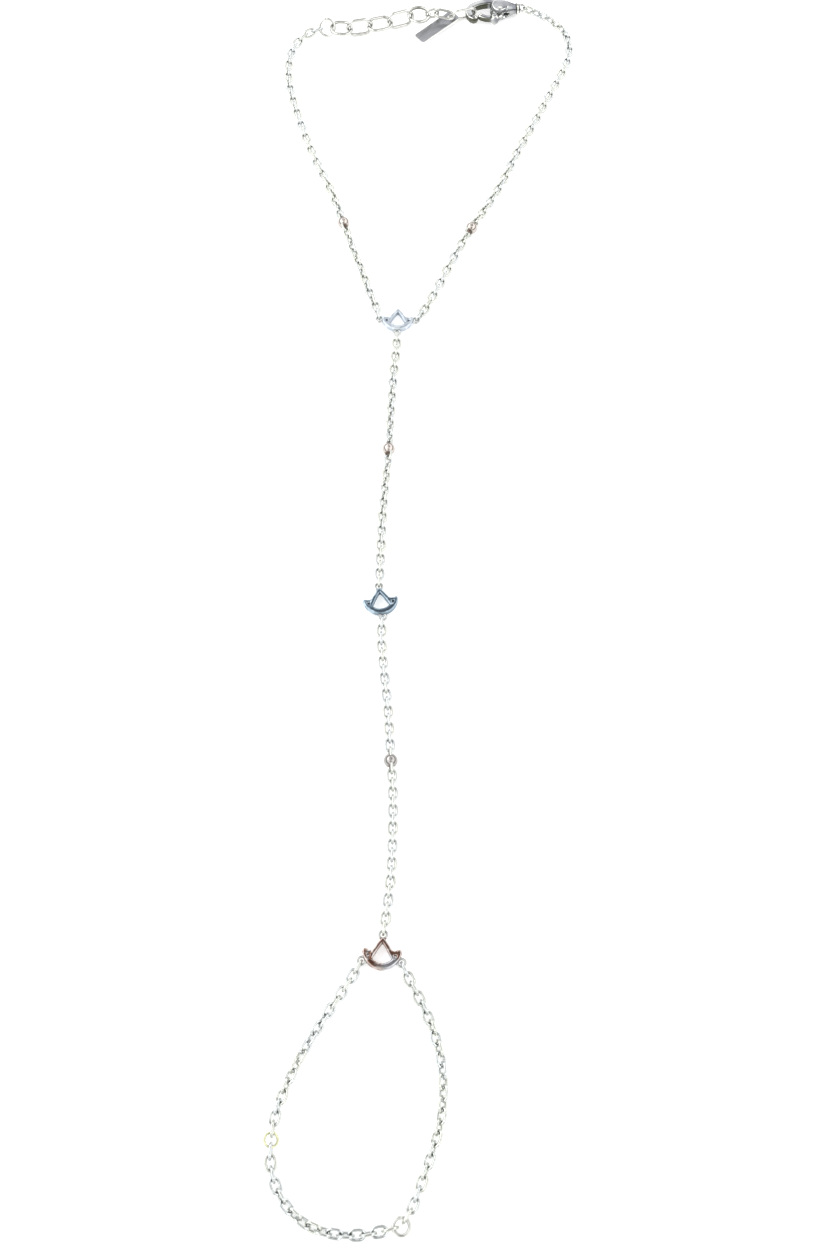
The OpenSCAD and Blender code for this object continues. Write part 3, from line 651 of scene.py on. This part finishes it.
def upright(form, x, y):
    """A turned form stood upright, its axis through x and y."""
    return form[0][:, [1, 2, 0]] + (x, y, 0), form[1]


def cut_from(mesh, shells):
    """The mesh less the given shells."""
    body = bpy.data.objects.new("cut", mesh)
    scene.collection.objects.link(body)
    tools = []
    for points, faces in shells:
        knife = bpy.data.meshes.new("knife")
        knife.from_pydata(points.tolist(), [], faces)
        knife = bpy.data.objects.new("knife", knife)
        scene.collection.objects.link(knife)
        tools.append(knife)
        cut = body.modifiers.new("cut", "BOOLEAN")
        cut.operation, cut.solver, cut.object = "DIFFERENCE", "EXACT", knife
    done = bpy.data.meshes.new_from_object(body.evaluated_get(bpy.context.evaluated_depsgraph_get()))
    for used in [body, *tools]:
        bpy.data.objects.remove(used)
    return done


def mark_dark_reflections(mesh):
    """Marks the near sides of hook and gate, and what faces along the clasp: these get a painted dark olive
    reflection.
    """
    way, at = (np.array([getattr(v, a) for v in mesh.vertices]) for a in ("normal", "co"))
    side = np.clip((-way[:, 1] - 0.45) / 0.2, 0, 1) * np.clip((-1.3 - at[:, 0]) / 0.2, 0, 1)
    end = np.clip((np.abs(way[:, 0]) - 0.72) / 0.15, 0, 1) * (np.abs(at[:, 0]) > 2.2)
    store(mesh, "painted_dark_reflection", np.maximum(side, end))
    return mesh


clasp_steel, tone = surface("clasp_steel")
spot = spot_on(tone)
cloud, skin = noise(spot, 0.32, 1.0), noise(spot, 11.0, 5.0)
crown, painted_dark_reflection = mask(tone, "crown"), mask(tone, "painted_dark_reflection")
metal = cloud.between(0.40, 0.60).blend((0.19, 0.195, 0.215), (0.44, 0.45, 0.45))
metal = crown.between(0.8, 1.7).blend(metal, (0.80, 0.81, 0.77))
# Painted reflection: dark olive on the near sides and end faces, as if they mirrored a dark room.
metal = (0.92 * painted_dark_reflection).blend(metal, (0.075, 0.08, 0.052))
# Painted shade darkens the concave corners of the clasp.
metal = (1 - crown.between(-1.6, -0.3)).blend(metal, (0.05, 0.05, 0.035))
principled(tone, {"Metallic": 1.0}, Base_Color=metal, Normal=relief(skin, 0.16, 0.00003),
           Roughness=0.10 + 0.12 * skin)

dome = [(1.75 * math.sin(a), 1.75 * math.cos(a)) for a in np.radians(np.linspace(-42, 42, 29))]
hub = upright(lathe(dome, 72), 0.6, 0)
neck = lathe(neck_profile, 64)
neck[0][:, 2] = np.clip(neck[0][:, 2], -1.2, 1.2)
tail, tail_faces = ring_wire(0.85, 0.47)
hook = [sweep(arm, 5.05, 45, 121, 0.64, 4.2), sweep(bow, 1.65, 118, 238, 0.63, 4.2), round_tip(0.72, -4.2, -1.88),
        hub, neck, (tail + (4.75, 0, 0), tail_faces)]
slot = bar([(-1.2, -1.6), (0.6, -1.6)], [1.75, 1.75], [0.6, 0.6], 12, 32)
bore = upright(lathe([(-2.0, 0.32), (2.0, 0.32)], 32), *rivet_at)
casting = mark_dark_reflections(cut_from(cast("cast_clasp", hook, 0.045, 7), [slot, bore]))
place(casting, "cast_clasp", clasp_at, clasp_turn, clasp_steel, "bracelet", ["clasp_body"])

boss = upright(lathe([(-0.44, 0.78), (-0.40, 0.84), (0.40, 0.84), (0.44, 0.78)], 48), *rivet_at)
thumb = bar([(-0.85, -2.34), (-0.35, -2.28)], [0.5, 0.5], [0.93, 0.93], 4.5, 32)
gate = [sweep(gate_centre, 3.0, 232.5, 302, 0.5, 3.6), round_tip(0.56, -2.95, -1.49), boss, thumb]
lever = mark_dark_reflections(cut_from(cast("cast_lever", gate, 0.04, 6), [bore]))
place(lever, "cast_lever", clasp_at, clasp_turn, clasp_steel, "clasp_lever", ["clasp_lever"])

head = [(1.08 + 0.17 * math.sin(a), 0.02 + 0.28 * math.cos(a)) for a in np.radians(np.linspace(0, 88, 8))]
shank, shank_faces = upright(lathe([(-h, r) for h, r in head[::-1]] + head, 40), *rivet_at)
rivet = bpy.data.meshes.new("peened_rivet")
rivet.from_pydata(shank.tolist(), [], shank_faces)
place(rivet, "peened_rivet", clasp_at, clasp_turn, clasp_steel, "bracelet", ["clasp_rivet"])
